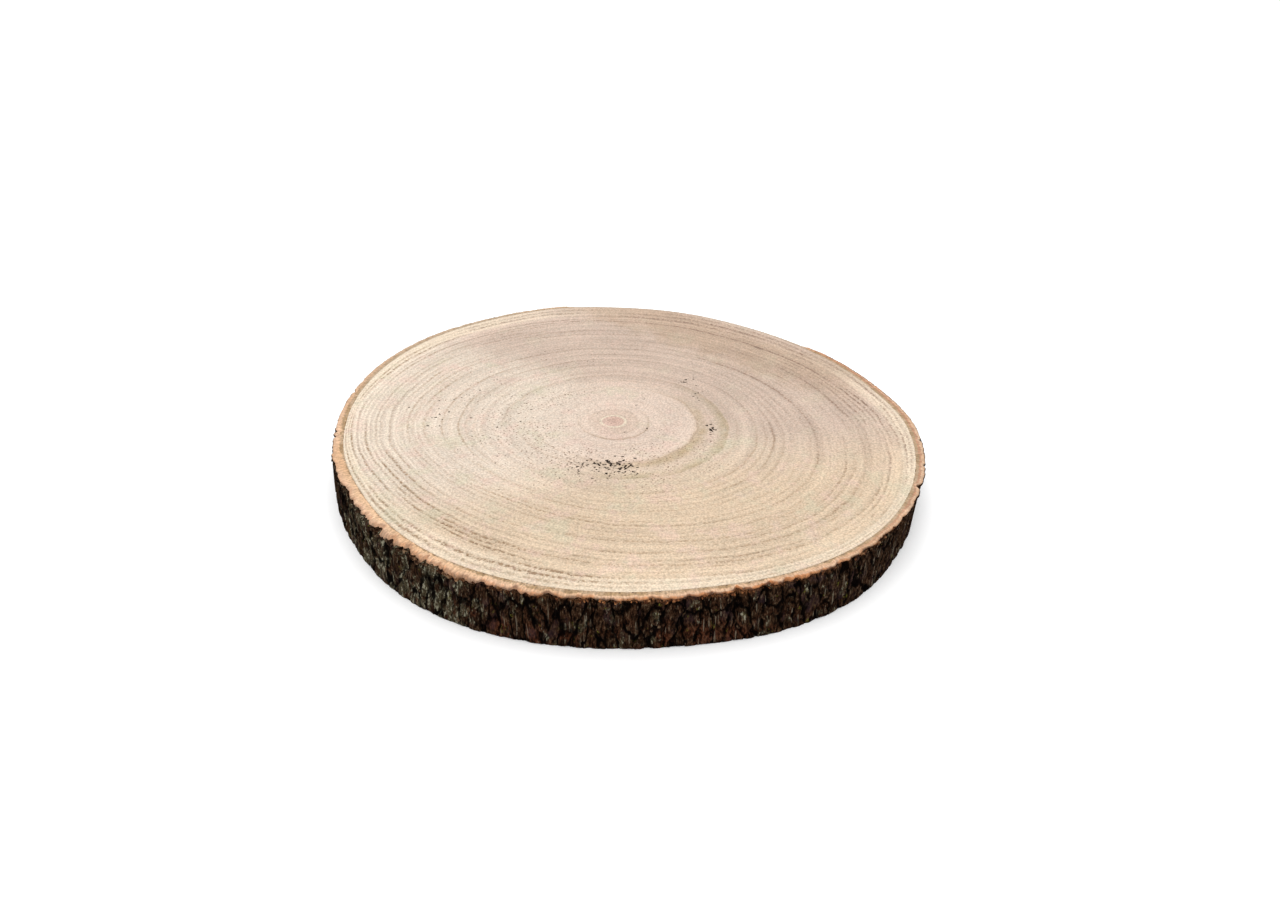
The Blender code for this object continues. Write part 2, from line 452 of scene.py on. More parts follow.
def bark_relief(angle, height, sizes):
    """Returns the fine relief of the outer bark, in metres, and how deep in a crack it is, for
    painted shade.
    """
    along = rim_length(angle)
    bend_along = along + 0.005 * (rough_noise(along * 110, height * 75, 3) - 0.5)
    bend_along = bend_along + 0.002 * (rough_noise(along * 480, height * 330, 5, 2) - 0.5)
    bend_up = height + 0.006 * (rough_noise(along * 150, height * 70, 11) - 0.5)
    bend_up = bend_up + 0.004 * (rough_noise(along * 520, height * 300, 15, 2) - 0.5)
    edge, value, off_along, off_up = cracked_cells(
        bend_along / sizes.plate_width, bend_up / sizes.plate_height, 1
    )
    crack = 1 - smooth_step(edge / 0.26)
    tilt = (value - 0.5) * off_along * 0.0012 - 0.0005 * off_up
    small_edge, small_value, small_along, small_up = cracked_cells(
        bend_along / SMALL_PLATE_WIDTH + 0.3, bend_up / SMALL_PLATE_HEIGHT, 21
    )
    small_crack = 1 - smooth_step(small_edge / 0.3)
    fine = rough_noise(along * 1100, height * 600, 31, 2) - 0.5
    hollow = rough_noise(along * 130, height * 110, 37) - 0.5
    relief = 0.0007 * (value - 1) + tilt - sizes.crack_depth * crack + 0.0012 * hollow
    relief = relief + 0.0006 * (small_value - 0.8) + 0.0004 * small_along - 0.0003 * small_up
    relief = relief - 0.0003 * small_crack + 0.0008 * fine
    # How deep in a crack a point lies: the finish paints shade by it
    depth = np.clip(0.8 * crack + 0.22 * small_crack - 0.35 * (small_value - 0.5), 0, 1)
    relief = np.minimum(relief + 0.001, 0.0)
    return relief * (0.3 + 0.7 * smooth_step(height / 0.0035)), depth


def large_tooth(along):
    """Rises slowly from 0 to 1 along the rim and drops back sharply, tooth after tooth."""
    place = along / TOOTH_SPACING + 1.1 * rim_noise(along, 60, 131)
    part = place - np.floor(place)
    size = 0.3 + 0.7 * lattice(np.floor(place), 0.0, 137)
    return size * part**1.6 * smooth_step((1 - part) / 0.12)


def spikes(angle):
    """How far the bark's few longest spikes reach in over the inner bark."""
    reach = np.zeros_like(angle)
    for degrees, length, width in SPIKES:
        off = (angle - math.radians(degrees)) * MEAN_CAMBIUM / width
        off = np.where(off > 0, off, off * 0.55)
        reach = np.maximum(reach, length * np.exp(-off * off))
    return reach


def inner_edge_radius(angle):
    """Distance from the axis to the toothed outer edge of the inner bark on the sawn face."""
    along = rim_length(angle)
    notch = smooth_step((rim_noise(along, 330, 41) - 0.56) / 0.2)
    tooth = rim_noise(along, 900, 51)
    cover = bark_cover(angle)
    lip = read_round(LIP_WIDTHS, angle)
    edge = side_radius(angle, 1.0) - lip
    edge = edge - cover * (0.00025 + 0.8 * lip) * (0.9 * notch + 0.8 * tooth)
    edge = edge - read_round(TOOTH_LENGTHS, angle) * large_tooth(along) - spikes(angle)
    return np.maximum(edge, cambium_radius(angle) + LEAST_INNER_BARK)


def under_bark_radius(angle, rise, shell):
    """Distance from the axis to the skin of the inner bark under the outer bark."""
    cover = bark_cover(angle)
    deep = side_radius(angle, rise) - cover * shell
    near_top = smooth_step((rise - 0.86) / 0.14)
    return deep * (1 - near_top) + np.minimum(inner_edge_radius(angle), deep + shell) * near_top


def upper_edge_drop(angle):
    """How far the broken upper edge of the outer bark lies under the sawn face."""
    along = rim_length(angle)
    chips = smooth_step((rim_noise(along, 210, 61) - 0.5) / 0.25)
    crumbs = rim_noise(along, 800, 71)
    wide = np.clip(read_round(LIP_WIDTHS, angle) / 0.001, 0.5, 1.6)
    return 0.0003 + wide * (0.0011 * chips + 0.0007 * crumbs)


def parting(angle):
    """Is 1 where the bark is parting from the wood and 0 where they hold together."""
    bits = rim_noise(rim_length(angle), 240, 81)
    degrees = np.degrees(angle) % 360
    past_start = smooth_step((degrees - PARTING_FROM) / 4)
    before_end = smooth_step((PARTING_TO - degrees) / 4)
    return np.clip(
        past_start * before_end * smooth_step((bits - 0.42) / 0.2)
        + 0.45 * smooth_step((bits - 0.62) / 0.12) * bark_cover(angle),
        0, 1,
    )


class Pattern:
    """An output of a material's nodes that adds and multiplies like a number."""

    def __init__(self, recipe, socket):
        self.recipe = recipe
        self.socket = socket

    def __add__(self, other):
        return self.recipe.math("ADD", self, other)

    def __sub__(self, other):
        return self.recipe.math("SUBTRACT", self, other)

    def __rsub__(self, other):
        return self.recipe.math("SUBTRACT", other, self)

    def __mul__(self, other):
        return self.recipe.math("MULTIPLY", self, other)

    def span(self, low, high, to_low=0.0, to_high=1.0):
        """Takes the value from one range to another with a smooth step."""
        ranges = {
            "Value": self, "From Min": low, "From Max": high, "To Min": to_low, "To Max": to_high,
        }
        return self.recipe.node(
            "ShaderNodeMapRange", "Result", ranges, interpolation_type="SMOOTHSTEP"
        )


class Recipe:
    """Builds one node material out of patterns, numbers and colours."""

    def __init__(self, name, place=None):
        self.material = bpy.data.materials.new(name)
        self.material.use_nodes = True
        self.tree = self.material.node_tree
        self.shader = self.tree.nodes["Principled BSDF"]
        self.solid = self.node("ShaderNodeTexCoord", "Object")
        self.place = self.attribute(place, "Vector") if place else self.solid
        self.colour = None

    def node(self, kind, output, inputs=None, **settings):
        """Adds a node with these inputs and settings, and returns one of its outputs."""
        made = self.tree.nodes.new(kind)
        for name, value in settings.items():
            setattr(made, name, value)
        for key, value in (inputs or {}).items():
            self.feed(made.inputs[key], value)
        return Pattern(self, made.outputs[output])

    def feed(self, socket, value):
        """Links a socket, or sets it to a number, a vector or a colour."""
        if isinstance(value, Pattern):
            self.tree.links.new(value.socket, socket)
        elif isinstance(value, (int, float)):
            socket.default_value = value
        else:
            wanted = len(socket.default_value)
            filled = list(value) + [1.0] * wanted
            socket.default_value = filled[:wanted]

    def attribute(self, name, output="Fac"):
        """Reads a value stored on the mesh."""
        return self.node("ShaderNodeAttribute", output, attribute_name=name)

    def math(self, operation, first, second=0.0):
        """Works out one number from two."""
        return self.node("ShaderNodeMath", 0, {0: first, 1: second}, operation=operation)

    def spot(self, scale, offset, place=None):
        """Returns the inputs that place a pattern; three scales make it longer one way."""
        place = place or self.place
        stretched = isinstance(scale, tuple)
        if stretched or any(offset):
            scales = scale if stretched else (1, 1, 1)
            mapping = {"Vector": place, "Scale": scales, "Location": offset}
            place = self.node("ShaderNodeMapping", "Vector", mapping)
        return {"Vector": place, "Scale": 1.0 if stretched else scale}

    def noise(self, scale, detail=2.0, roughness=0.5, offset=(0, 0, 0), w=None, place=None):
        """Soft random pattern; w changes it from one ring to the next."""
        inputs = {**self.spot(scale, offset, place), "Detail": detail, "Roughness": roughness}
        if w is None:
            return self.node("ShaderNodeTexNoise", "Fac", inputs)
        return self.node("ShaderNodeTexNoise", "Fac", {**inputs, "W": w}, noise_dimensions="4D")

    def cells(self, scale, offset=(0, 0, 0)):
        """Random cells: the distance from each one's middle."""
        return self.node("ShaderNodeTexVoronoi", "Distance", self.spot(scale, offset))

    def direction(self, degrees, low, high, sway=0.0):
        """Rises from 0 to 1 across the slice towards a direction, between two distances."""
        turn = math.radians(degrees)
        inputs = {0: self.solid, 1: (math.cos(turn), math.sin(turn), 0.0)}
        distance = self.node("ShaderNodeVectorMath", "Value", inputs, operation="DOT_PRODUCT")
        return (distance + sway).span(low, high)

    def ramp(self, value, *stops):
        """Turns a value into a colour by stops of place and colour."""
        made = self.node("ShaderNodeValToRGB", "Color", {"Fac": value})
        elements = made.socket.node.color_ramp.elements
        while len(elements) < len(stops):
            elements.new(0.5)
        for element, (place, colour) in zip(elements, stops):
            element.position = place
            element.color = (*colour, 1.0)
        return made

    def mix(self, share, first, second, mode="MIX"):
        """Mixes two colours."""
        inputs = {0: share, 6: first, 7: second}
        return self.node(
            "ShaderNodeMix", 2, inputs, data_type="RGBA", blend_type=mode, clamp_factor=True
        )

    def paint(self, share, colour):
        """Lays a colour over what is there, as far as the share says."""
        self.colour = self.mix(share, self.colour, colour)

    def shade(self, level):
        """Darkens or lightens what is there."""
        self.colour = self.mix(1.0, self.colour, level, "MULTIPLY")

    def bump(self, height, distance, strength, under=None):
        """Tilts the surface by a height pattern, on top of another where one is given."""
        inputs = {"Height": height, "Distance": distance, "Strength": strength}
        if under is not None:
            inputs["Normal"] = under
        return self.node("ShaderNodeBump", "Normal", inputs)

    def finish(self, roughness, specular, normal=None):
        """Gives the shader its colour, roughness and relief."""
        self.feed(self.shader.inputs["Base Color"], self.colour)
        self.feed(self.shader.inputs["Roughness"], roughness)
        self.shader.inputs["Specular IOR Level"].default_value = specular
        if normal is not None:
            self.feed(self.shader.inputs["Normal"], normal)
        return self.material


def sawn_wood_material(colours):
    """Pale sanded end grain: rings, rows of pores, specks, stains and pits."""
    wood = Recipe("sawn_wood")
    growth = wood.attribute("growth")
    sway = (wood.noise(45, 3, 0.6) - 0.5) * 0.9
    shiver = (wood.noise(480) - 0.5) * 0.2
    ring = wood.attribute("ring") + sway + shiver
    part = wood.math("FRACT", ring)
    number = wood.math("FLOOR", ring + 0.5)
    width = wood.attribute("ring_width")
    past = part * width
    before = (1.0 - part) * width

    wood.colour = wood.ramp(
        growth,
        (0.0, pigment(211, 177, 162)), (0.036, pigment(216, 184, 168)),
        (0.042, pigment(250, 236, 212)), (0.051, pigment(220, 195, 177)),
        (0.13, colours.heartwood), (0.24, colours.heartwood), (0.42, colours.midwood),
        (0.82, colours.midwood), (0.9, pigment(230, 210, 190)), (1.0, pigment(238, 220, 197)),
    )
    wood.paint(wood.direction(172, 0.0, 0.062), pigment(233, 216, 199))
    edge_sway = (wood.noise(90, 3) - 0.5) * 0.03
    back = wood.direction(56, 0.006, 0.042, edge_sway) * growth.span(0.2, 0.42, 0.0, 0.9)
    wood.paint(back, pigment(209, 186, 170))
    far_back = wood.direction(50, 0.08, 0.103, edge_sway) * wood.direction(50, 0.14, 0.122)
    far_back = far_back * wood.direction(140, -0.095, -0.05)
    wood.paint(far_back * 0.9, pigment(197, 171, 149))
    smudge = wood.direction(47, 0.1165, 0.1175) * wood.direction(47, 0.1195, 0.1183)
    smudge_ends = wood.direction(137, -0.002, 0.002) * wood.direction(137, 0.009, 0.004)
    wood.paint(smudge * smudge_ends * 0.75, pigment(120, 96, 82))
    wood.paint(wood.direction(284, 0.02, 0.085) * 0.8, pigment(226, 201, 172))
    rim = (growth + sway * 0.012).span(0.93, 0.962) * wood.direction(240, -0.13, -0.07)
    wood.paint(rim * 0.85, colours.sapwood)

    bands = wood.noise(7, 1, 0.5, w=ring * 0.21).span(0.3, 0.7, 0.93, 1.06)
    thin_bands = wood.noise(9, 1, 0.5, w=ring * 0.62).span(0.3, 0.7, -0.045, 0.04)
    thin_bands = thin_bands * growth.span(0.2, 0.75, 0.4, 1.0)
    outer = growth.span(0.82, 0.92) * (back * 0.06 + 0.055)
    wood.shade(bands + thin_bands + outer)

    stray = growth + (sway + shiver) * 0.03
    olive = wood.noise(60, 3, 0.65).span(0.34, 0.6, 0.45, 1.0) * wood.direction(-30, -0.01, 0.05)
    for rising, falling, share, tone in (
        ((0.272, 0.302), (0.345, 0.302), 0.9, pigment(188, 164, 128)),
        ((0.335, 0.388), (0.398, 0.389), 0.75, pigment(190, 174, 140)),
    ):
        wood.paint(stray.span(*rising) * stray.span(*falling) * olive * share, tone)

    line = wood.math("MAXIMUM", past.span(0.0009, 0.0), before.span(0.0014, 0.0))
    halo = before.span(0.0052, 0.0) * 0.2232
    patchy = wood.noise(14, 2, 0.6, w=number).span(0.34, 0.64, 0.15, 1.25)
    dashes = wood.noise(540).span(0.4, 0.6, 0.2, 1.55)
    dashed = wood.mix(growth.span(0.3, 0.7), (1, 1, 1), dashes)
    front_left = wood.direction(226, 0.09, 0.125) * 0.65
    back_right = wood.direction(35, 0.07, 0.13) * 0.6
    strength = wood.attribute("line_strength") * patchy * (front_left + back_right + 1.0)
    lines = (line * dashed * 0.56 + halo) * strength
    wood.paint(lines, wood.mix(back, colours.ring_line, pigment(158, 132, 116)))
    light_line = past.span(0.0006, 0.0011) * past.span(0.0024, 0.0012)
    wood.paint(light_line * wood.direction(185, 0.095, 0.128) * 0.55, pigment(250, 234, 212))

    patches = back.span(0.0, 0.9, 1.0, 0.35)
    blush = wood.noise(75, 3, 0.65).span(0.5, 0.68, 0.0, 0.42)
    wood.paint(blush * patches, pigment(233, 200, 186))
    green = wood.noise(55, 3, 0.65, (3, 1, 2)).span(0.52, 0.7, 0.0, 0.42)
    wood.paint(green * patches, pigment(212, 206, 178))
    wood.shade(wood.noise(26, 3, 0.6).span(0.3, 0.7, 0.955, 1.045))
    pores = wood.cells(620).span(0.3, 0.16) * past.span(0.0022, 0.0) * growth.span(0.42, 0.8)
    wood.paint(pores * strength * 0.7, pigment(140, 106, 80))

    grain = wood.noise(1000, 2, 0.75)
    wood.shade(grain.span(0.28, 0.72, 0.76, 1.21))
    warm = wood.noise(520, 2, 0.7, (1, 5, 3))
    wood.shade(wood.mix(warm, (0.93, 1.0, 1.02), (1.06, 1.0, 0.96)))
    inner = growth.span(0.72, 0.3) * growth.span(0.12, 0.24, 0.3, 1.0)
    fleck_patch = wood.noise(40).span(0.4, 0.56, 0.12, 1.0) * wood.direction(235, -0.06, 0.03)
    flecks = wood.cells(560).span(0.32, 0.18) * inner * fleck_patch
    wood.paint(flecks * 0.8, pigment(132, 106, 88))
    speck_patch = wood.noise(48, offset=(2, 4, 1)).span(0.46, 0.54)
    speck_side = wood.direction(172, -0.01, 0.03) * growth.span(0.76, 0.66)
    specks = wood.cells(290, (2, 4, 1)).span(0.15, 0.1) * speck_patch * speck_side
    wood.paint(specks * 0.8, pigment(104, 82, 68))
    # Dark colour painted into the sunk pits: partly their own dark colour, partly painted shade
    # in the holes
    wood.paint(wood.attribute("pit").span(0.05, 0.5), colours.pit)
    relief = wood.bump(grain * 0.5 - lines * 0.9, 0.00022, 0.7)
    return wood.finish(grain.span(0.2, 0.8, 0.62, 0.8), 0.15, relief)


def inner_bark_material(colours):
    """Orange bast with radial fibres, grey-tan next to the wood, pale where it is bare, and
    painted shade on its inner face.
    """
    bast = Recipe("inner_bark", "rim_place")
    across = bast.attribute("across")
    fibres = bast.noise((1150, 300, 300), 3, 0.7)
    crumbs = bast.noise((900, 900, 900), 2, 0.7, (3, 1, 7))
    clumps = bast.noise((230, 260, 260), 2, 0.6)
    place = across + (clumps - 0.5) * 0.5 + (crumbs - 0.5) * 0.35
    bast.colour = bast.mix(place.span(0.3, 1.0), colours.inner_bark, pigment(240, 200, 168))
    orange = bast.noise(30, place=bast.solid).span(0.4, 0.62, 0.0, 0.5)
    bast.paint(orange, pigment(226, 178, 134))
    lumps = bast.mix(clumps.span(0.4, 0.6), pigment(178, 146, 108), colours.old_bast)
    bast.paint((bast.attribute("grey_share") - place).span(-0.1, 0.1), lumps)
    red = bast.math("ABSOLUTE", place - 0.5).span(0.22, 0.06) * bast.attribute("red_line")
    bast.paint(red * 0.75, pigment(188, 122, 92))
    torn = bast.mix(clumps.span(0.38, 0.6), pigment(96, 50, 28), pigment(206, 136, 86))
    bast.paint(place.span(0.66, 0.98) * bast.attribute("dark_fringe"), torn)
    bast.shade(fibres.span(0.3, 0.7, 0.72, 1.2))
    bast.shade(crumbs.span(0.3, 0.7, 0.82, 1.14))
    specks = bast.cells((560, 700, 700)).span(0.34, 0.2) * across.span(0.36, 0.02)
    speck_share = bast.attribute("cambium_specks")
    bast.paint(specks * speck_share, pigment(70, 50, 40))
    bast.paint(across.span(0.16, 0.0) * speck_share * 0.25, pigment(112, 88, 70))
    bare_tone = bast.ramp(
        bast.noise((800, 300, 45), 3, 0.65, (6, 2, 9)), (0.32, pigment(150, 124, 100)),
        (0.46, pigment(190, 170, 145)), (0.66, pigment(212, 196, 173)),
    )
    bast.paint(bast.attribute("bare") * 0.85, bare_tone)
    # Painted shade on the inner bark's inner face, which shows in the gap where the bark parts
    # from the wood
    bast.paint(bast.attribute("seam").span(0.1, 0.7), pigment(40, 28, 20))
    bast.paint(bast.attribute("buried"), pigment(120, 66, 38))
    return bast.finish(0.86, 0.2, bast.bump(fibres, 0.0004, 0.8))


def outer_bark_material(colours):
    """Near-black brown plates with grey-green lichen, moss specks and reddish breaks, and painted
    shade in cracks and holes.
    """
    bark = Recipe("outer_bark", "rim_place")
    streaks = bark.noise((1200, 900, 420), 3, 0.75)
    crust = bark.noise((1600, 1500, 1300), 2, 0.7)
    # The darkest streaks take the near-black painted shade of the gaps
    bark.colour = bark.ramp(
        streaks,
        (0.35, colours.crevice_shade), (0.46, pigment(36, 22, 14)), (0.57, pigment(64, 44, 30)),
        (0.7, colours.plate),
    )
    blotches = bark.noise((120, 110, 100), 3, 0.65).span(0.42, 0.64)
    red = blotches * bark.attribute("rise").span(0.8, 0.1, 0.15, 0.8)
    red = red * (bark.direction(262, 0.118, 0.142) * 0.75 + 0.25)
    bark.paint(red, bark.mix(streaks.span(0.36, 0.64), pigment(24, 11, 7), pigment(100, 56, 37)))
    plum = bark.noise((150, 150, 110), offset=(2, 5, 1)).span(0.54, 0.7)
    bark.paint(plum * 0.35, pigment(70, 52, 56))
    lichen = bark.noise((240, 190, 130), 3, 0.65, (7, 1, 4))
    lichen = lichen + bark.direction(225, 0.137, 0.1455) * 0.14
    olive = lichen.span(0.58, 0.7) * crust.span(0.36, 0.52)
    bark.paint(olive * 0.75, pigment(88, 82, 62))
    light_flakes = bark.noise((900, 800, 330), 2, 0.7, (3, 7, 2)).span(0.52, 0.6)
    bark.paint(light_flakes * lichen.span(0.6, 0.7), colours.lichen)
    # Painted shade: near-black spots standing for shaded holes in the bark
    hole_shade = bark.noise((520, 420, 250), 2, 0.6, (5, 3, 1)).span(0.42, 0.3, 0.0, 0.85)
    bark.paint(hole_shade, colours.crevice_shade)
    moss = bark.noise((260, 260, 210), 3, 0.6, (1, 9, 6)).span(0.64, 0.72)
    bark.paint(moss * crust.span(0.4, 0.6), colours.moss)
    fibres = bark.noise((1500, 900, 90), 1, 0.5, (4, 2, 8)).span(0.66, 0.72)
    bark.paint(fibres * 0.6, pigment(140, 128, 110))
    broken = bark.attribute("broken") * streaks.span(0.38, 0.6)
    bark.paint(broken, bark.mix(crust, pigment(74, 38, 22), colours.broken))
    # Painted shade at the bottoms of the cracks, and a little on the bark's other sides
    bark.paint(bark.attribute("crack").span(0.15, 0.8, 0.0, 0.95), colours.crevice_shade)
    relief = bark.bump(crust, 0.0006, 0.9, bark.bump(streaks, 0.0012, 0.9))
    return bark.finish(0.92, 0.005, relief)


def flake_material(colours):
    """Torn bark: orange-brown inside, dark outside."""
    torn = Recipe("bark_flakes")
    patches = torn.noise(420, 3, 0.6)
    fresh = torn.ramp(
        patches,
        (0.34, pigment(40, 26, 19)), (0.48, pigment(98, 56, 34)), (0.6, colours.broken),
        (0.74, pigment(206, 160, 116)),
    )
    # The old side's darkest patches take the same near-black painted shade
    old = torn.ramp(
        patches,
        (0.36, colours.crevice_shade), (0.5, pigment(38, 29, 23)), (0.68, pigment(104, 94, 78)),
    )
    torn.colour = torn.mix(torn.attribute("torn"), old, fresh)
    return torn.finish(0.9, 0.03, torn.bump(patches, 0.0004, 0.6))


def plain_floor_material():
    """Matt white paper, lit a little from below."""
    paper = Recipe("studio_floor")
    paper.shader.inputs["Emission Color"].default_value = (1, 1, 1, 1)
    paper.shader.inputs["Emission Strength"].default_value = FLOOR_GLOW
    paper.colour = FLOOR_COLOUR
    return paper.finish(0.9, 0.05)


def deselect_all():
    """Leaves nothing selected and nothing in edit mode."""
    if bpy.context.object is not None and bpy.context.object.mode != "OBJECT":
        bpy.ops.object.mode_set(mode="OBJECT")
    bpy.ops.object.select_all(action="DESELECT")


def select_only(parts, wanted):
    """Selects the edited mesh's vertices, edges or faces that pass a test, and no others."""
    mesh = bpy.context.object.data
    bpy.ops.mesh.select_all(action="DESELECT")
    for part in getattr(bmesh.from_edit_mesh(mesh), parts):
        if wanted(part):
            part.select_set(True)
    bmesh.update_edit_mesh(mesh)


def read_places(mesh):
    """Returns the mesh's vertices as an array."""
    places = np.empty(len(mesh.vertices) * 3)
    mesh.vertices.foreach_get("co", places)
    return places.reshape(-1, 3)


def write_places(mesh, x, y, z):
    """Moves the mesh's vertices, and holds them inside the solid's own extents."""
    places = np.clip(np.stack([x, y, z], axis=1), CAD_LOW, CAD_HIGH)
    mesh.vertices.foreach_set("co", places.ravel())
    mesh.update()


def write_round(mesh, angle, radius, height):
    """Moves the mesh's vertices to places given round the axis."""
    write_places(mesh, AXIS_X + radius * np.cos(angle), AXIS_Y + radius * np.sin(angle), height)


def store(mesh, **layers):
    """Keeps one number, or one vector, for each vertex under each name."""
    for name, values in layers.items():
        values = np.asarray(values, dtype=np.float32)
        if values.ndim == 1:
            mesh.attributes.new(name, "FLOAT", "POINT").data.foreach_set("value", values)
        else:
            layer = mesh.attributes.new(name, "FLOAT_VECTOR", "POINT")
            layer.data.foreach_set("vector", values.ravel())


def settle(piece, name, material):
    """Names a finished piece, gives it its material and tells the frame about it."""
    piece.name = name
    piece.data.name = name
    piece.data.materials.clear()
    piece.data.materials.append(material)
    for face in piece.data.polygons:
        face.use_smooth = True
    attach(piece, "root")
    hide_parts("wood_slice")


def scattered_pits():
    """Returns the pits as rows of x, y, radius, turn and how long they are for their width."""
    draw = np.random.default_rng(PIT_SEED)
    rows = []
    for (x, y), (spread_x, spread_y), count, (least, most) in PIT_GROUPS:
        for _ in range(count):
            rows.append((
                x + spread_x * draw.normal(), y + spread_y * draw.normal(),
                draw.uniform(least, most), draw.uniform(0, math.pi), draw.uniform(1.0, 2.1),
            ))
    for x, y in LONE_PITS:
        rows.append((x, y, LONE_PIT_RADIUS, draw.uniform(0, math.pi), 1.7))
    return rows


def face_growths(most_step):
    """Returns the growths that get a loop of edges, from the rim in, with each ring's line."""
    loops = []
    last = 1.0
    for radius in reversed(RING_RADII):
        mark = radius / MEAN_CAMBIUM
        parts = max(1, math.ceil((last - mark) / most_step))
        loops += [last + (mark - last) * step / parts for step in range(1, parts + 1)]
        last = mark
    return loops + [last / 2]


class WOODSLICE_OT_sawn_wood(bpy.types.Operator):
    """Saw the wood: a disc whose loops of edges are its growth rings, pitted on its upper face"""

    bl_idname = "wood_slice.sawn_wood"
    bl_label = "Sawn wood"

    def execute(self, context):
        sizes = context.scene.wood_slice_sizes
        thickness = sizes.thickness
        deselect_all()
        bpy.ops.mesh.primitive_cylinder_add(
            vertices=WOOD_SEGMENTS, radius=1.0, depth=thickness, end_fill_type="NGON",
            location=(0, 0, thickness / 2),
        )
        piece = context.object
        bpy.ops.object.transform_apply(location=True)
        bpy.ops.object.mode_set(mode="EDIT")
        bpy.ops.mesh.select_mode(type="FACE")
        for facing, most_step in ((1, UPPER_RING_STEP), (-1, LOWER_RING_STEP)):
            select_only("faces", lambda face: face.normal.z * facing > 0.9)
            last = 1.0
            for growth in face_growths(most_step):
                bpy.ops.mesh.inset(thickness=last - growth)
                last = growth
            bpy.ops.mesh.poke()
        bpy.ops.object.mode_set(mode="OBJECT")
        pits = scattered_pits()
        self.refine_round_pits(piece.data, thickness, pits)
        self.lay_rings(piece.data, sizes, pits)
        material = sawn_wood_material(context.scene.wood_slice_colours)
        settle(piece, "sawn_wood", material)
        return {"FINISHED"}

    def refine_round_pits(self, mesh, thickness, pits):
        """Cuts the upper face finer wherever a pit comes."""
        for finer in (1, 0):
            bpy.ops.object.mode_set(mode="EDIT")
            edited = bmesh.from_edit_mesh(mesh)
            bpy.ops.mesh.select_all(action="DESELECT")
            upper = [face for face in edited.faces
                     if face.calc_center_median().z > thickness * 0.999 and len(face.verts) > 3]
            middles = np.array([face.calc_center_median()[:2] for face in upper])
            growth = np.hypot(middles[:, 0], middles[:, 1])
            x, y = ring_place(growth, np.arctan2(middles[:, 1], middles[:, 0]) % math.tau)
            near = np.zeros(len(upper), dtype=bool)
            for pit_x, pit_y, radius, _, _ in pits:
                near |= np.hypot(x - pit_x, y - pit_y) < radius * PIT_REACH + PIT_MARGIN
            for face, wanted in zip(upper, near):
                if not wanted:
                    continue
                for edge in face.edges:
                    first, second = (vertex.co for vertex in edge.verts)
                    radial = abs(first.xy.length - second.xy.length) > 1e-5
                    if radial or not finer:
                        edge.select_set(True)
            bmesh.update_edit_mesh(mesh)
            bpy.ops.mesh.select_mode(type="EDGE")
            bpy.ops.mesh.subdivide(number_cuts=3 if finer else 1)
            bpy.ops.object.mode_set(mode="OBJECT")

    def lay_rings(self, mesh, sizes, pits):
        """Moves the loops to their rings, sinks the pits and stores what the finish reads."""
        places = read_places(mesh)
        growth = np.hypot(places[:, 0], places[:, 1])
        angle = np.arctan2(places[:, 1], places[:, 0]) % math.tau
        x, y = ring_place(growth, angle)
        at_rim = growth > 0.9999
        reach = cambium_radius(angle) - (0.00005 + parting(angle) * sizes.cambium_gap / 2)
        x = np.where(at_rim, AXIS_X + reach * np.cos(angle), x)
        y = np.where(at_rim, AXIS_Y + reach * np.sin(angle), y)
        upper = places[:, 2] > sizes.thickness / 2
        pit = np.zeros(len(x))
        for pit_x, pit_y, radius, turn, length in pits:
            along = (x - pit_x) * math.cos(turn) + (y - pit_y) * math.sin(turn)
            aside = (y - pit_y) * math.cos(turn) - (x - pit_x) * math.sin(turn)
            distance = np.hypot(along / length, aside) / radius
            pit = np.maximum(pit, np.where(upper, 1 - smooth_step((distance - 0.45) / 0.75), 0))
        write_places(mesh, x, y, np.where(upper, sizes.thickness, 0.0) - PIT_DEPTH * pit)
        marks = np.concatenate([[0.0], np.array(RING_RADII) / MEAN_CAMBIUM, [1.0]])
        strengths = np.concatenate([[0.1], RING_STRENGTHS, [0.1]])
        widths = np.diff(marks, append=1.02) * MEAN_CAMBIUM
        store(
            mesh, growth=growth, pit=pit,
            ring=np.interp(growth, marks, np.arange(len(marks))),
            line_strength=np.interp(growth, marks, strengths),
            ring_width=np.interp(growth, marks, widths),
        )


def runs_round(edge):
    """Tells whether an edge of a torus runs round its axis."""
    first, second = (vertex.co for vertex in edge.verts)
    level = abs(first.z - second.z) < 1e-5
    return level and abs(first.xy.length - second.xy.length) < 1e-5


def ring_blank(cuts, section_points):
    """Adds a plain torus, each step round it cut finer, to be reshaped point by point."""
    deselect_all()
    bpy.ops.mesh.primitive_torus_add(
        major_segments=BARK_SEGMENTS, minor_segments=section_points,
        major_radius=1.0, minor_radius=0.25, generate_uvs=False,
    )
    bpy.ops.object.mode_set(mode="EDIT")
    bpy.ops.mesh.select_mode(type="EDGE")
    select_only("edges", runs_round)
    bpy.ops.mesh.subdivide(number_cuts=cuts)
    bpy.ops.object.mode_set(mode="OBJECT")
    return bpy.context.object


def read_section(mesh, counts):
    """Reads where each vertex of a torus comes on a four-sided section.

    Returns its angle round the axis, its side (0 outer, 1 upper, 2 inner, 3 lower), how far up
    the section it is and how far out, both from 0 to 1, and how far along its side.
    """
    places = read_places(mesh)
    angle = np.arctan2(places[:, 1], places[:, 0]) % math.tau
    turn = np.arctan2(places[:, 2], np.hypot(places[:, 0], places[:, 1]) - 1)
    total = sum(counts)
    index = np.round((turn / math.tau) * total + total / 8).astype(int) % total
    starts = np.cumsum((0, *counts[:-1]))
    side = np.searchsorted(starts, index, side="right") - 1
    share = (index - starts[side]) / np.asarray(counts)[side]
    rise = np.choose(side, (share, 1.0, 1 - share, 0.0))
    across = np.choose(side, (1.0, 1 - share, 0.0, share))
    return angle, side, rise, across, share


